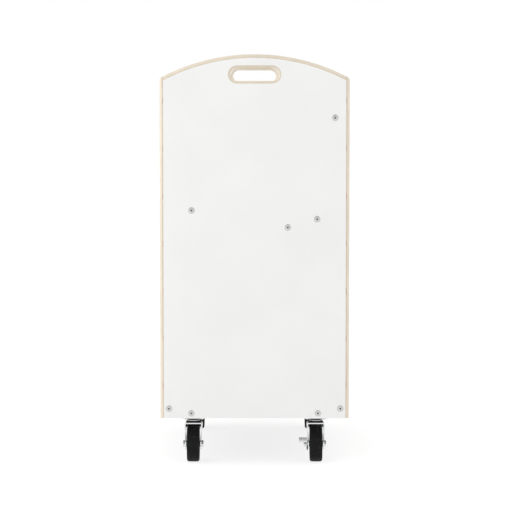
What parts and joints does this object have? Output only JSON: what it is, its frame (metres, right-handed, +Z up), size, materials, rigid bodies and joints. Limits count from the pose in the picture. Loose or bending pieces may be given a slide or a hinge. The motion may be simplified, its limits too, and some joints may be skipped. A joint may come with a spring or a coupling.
{
  "type": "book trolley",
  "caption": "Book trolley with arched plywood end panels, slotted hand holes, a tilted upper shelf with back panel, a lipped base board and swivel casters with side brakes.",
  "frame": {"origin": "on the floor, under the middle of the trolley", "axes": "+Z up; Y along the trolley, with the pictured end panel facing -Y; X across it, +X to the right in the picture, on the side where the back panel stands"},
  "size_m": [0.52, 0.774, 1.128],
  "materials": {
    "birch_plywood": "clear lacquer, satin",
    "white_laminate": "satin",
    "bright_nickel": "polished",
    "bright_zinc": "zinc plated",
    "bearing_steel": "ground",
    "black_tyre": "matt",
    "dark_hub": "moulded",
    "dark_cam": "satin"
  },
  "bodies": {
    "root": {"front_end_panel": "birch_plywood", "front_panel_laminates": "white_laminate", "rear_end_panel": "birch_plywood", "rear_panel_laminates": "white_laminate", "base_board": "birch_plywood", "base_laminates": "white_laminate", "left_lip_rail": "birch_plywood", "right_lip_rail": "birch_plywood", "rail_laminates": "white_laminate", "tilted_shelf": "birch_plywood", "shelf_laminates": "white_laminate", "back_panel": "birch_plywood", "back_panel_laminates": "white_laminate", "connector_bolts": "bright_nickel", "barrel_nuts": "bright_zinc", "plate_screws": "bright_zinc", "top_plate_front_left": "bright_zinc", "upper_race_front_left": "bearing_steel", "king_pin_front_left": "bright_zinc", "top_plate_front_right": "bright_zinc", "upper_race_front_right": "bearing_steel", "king_pin_front_right": "bright_zinc", "top_plate_rear_left": "bright_zinc", "upper_race_rear_left": "bearing_steel", "king_pin_rear_left": "bright_zinc", "top_plate_rear_right": "bright_zinc", "upper_race_rear_right": "bearing_steel", "king_pin_rear_right": "bright_zinc"},
    "swivel_front_left": {"fork_front_left": "bright_zinc", "race_balls_front_left": "bearing_steel", "axle_bolt_front_left": "bright_zinc", "axle_nut_front_left": "bright_zinc", "axle_sleeve_front_left": "bearing_steel"},
    "wheel_front_left": {"wheel_hub_front_left": "dark_hub", "tyre_front_left": "black_tyre"},
    "swivel_front_right": {"fork_front_right": "bright_zinc", "race_balls_front_right": "bearing_steel", "axle_bolt_front_right": "bright_zinc", "axle_nut_front_right": "bright_zinc", "axle_sleeve_front_right": "bearing_steel"},
    "wheel_front_right": {"wheel_hub_front_right": "dark_hub", "tyre_front_right": "black_tyre"},
    "brake_front_right": {"brake_lever_front_right": "bright_zinc", "brake_cam_front_right": "dark_cam"},
    "swivel_rear_left": {"fork_rear_left": "bright_zinc", "race_balls_rear_left": "bearing_steel", "axle_bolt_rear_left": "bright_zinc", "axle_nut_rear_left": "bright_zinc", "axle_sleeve_rear_left": "bearing_steel"},
    "wheel_rear_left": {"wheel_hub_rear_left": "dark_hub", "tyre_rear_left": "black_tyre"},
    "brake_rear_left": {"brake_lever_rear_left": "bright_zinc", "brake_cam_rear_left": "dark_cam"},
    "swivel_rear_right": {"fork_rear_right": "bright_zinc", "race_balls_rear_right": "bearing_steel", "axle_bolt_rear_right": "bright_zinc", "axle_nut_rear_right": "bright_zinc", "axle_sleeve_rear_right": "bearing_steel"},
    "wheel_rear_right": {"wheel_hub_rear_right": "dark_hub", "tyre_rear_right": "black_tyre"}
  },
  "joints": [
    {"name": "caster_swivel_front_left", "type": "hinge", "parent": "root", "child": "swivel_front_left", "pos_m": [-0.1704, -0.303, 0.109], "axis": [0, 0, 1], "continuous": true},
    {"name": "wheel_spin_front_left", "type": "hinge", "parent": "swivel_front_left", "child": "wheel_front_left", "pos_m": [-0.1704, -0.337, 0.05], "axis": [1, 0, 0], "continuous": true},
    {"name": "caster_swivel_front_right", "type": "hinge", "parent": "root", "child": "swivel_front_right", "pos_m": [0.1704, -0.303, 0.109], "axis": [0, 0, 1], "continuous": true},
    {"name": "wheel_spin_front_right", "type": "hinge", "parent": "swivel_front_right", "child": "wheel_front_right", "pos_m": [0.1704, -0.337, 0.05], "axis": [1, 0, 0], "continuous": true},
    {"name": "brake_press_front_right", "type": "hinge", "parent": "swivel_front_right", "child": "brake_front_right", "pos_m": [0.1704, -0.337, 0.05], "axis": [1, 0, 0], "range_deg": [0, 30]},
    {"name": "caster_swivel_rear_left", "type": "hinge", "parent": "root", "child": "swivel_rear_left", "pos_m": [-0.1704, 0.303, 0.109], "axis": [0, 0, 1], "continuous": true},
    {"name": "wheel_spin_rear_left", "type": "hinge", "parent": "swivel_rear_left", "child": "wheel_rear_left", "pos_m": [-0.1704, 0.269, 0.05], "axis": [1, 0, 0], "continuous": true},
    {"name": "brake_press_rear_left", "type": "hinge", "parent": "swivel_rear_left", "child": "brake_rear_left", "pos_m": [-0.1704, 0.269, 0.05], "axis": [1, 0, 0], "range_deg": [0, 30]},
    {"name": "caster_swivel_rear_right", "type": "hinge", "parent": "root", "child": "swivel_rear_right", "pos_m": [0.1704, 0.303, 0.109], "axis": [0, 0, 1], "continuous": true},
    {"name": "wheel_spin_rear_right", "type": "hinge", "parent": "swivel_rear_right", "child": "wheel_rear_right", "pos_m": [0.1704, 0.269, 0.05], "axis": [1, 0, 0], "continuous": true}
  ]
}
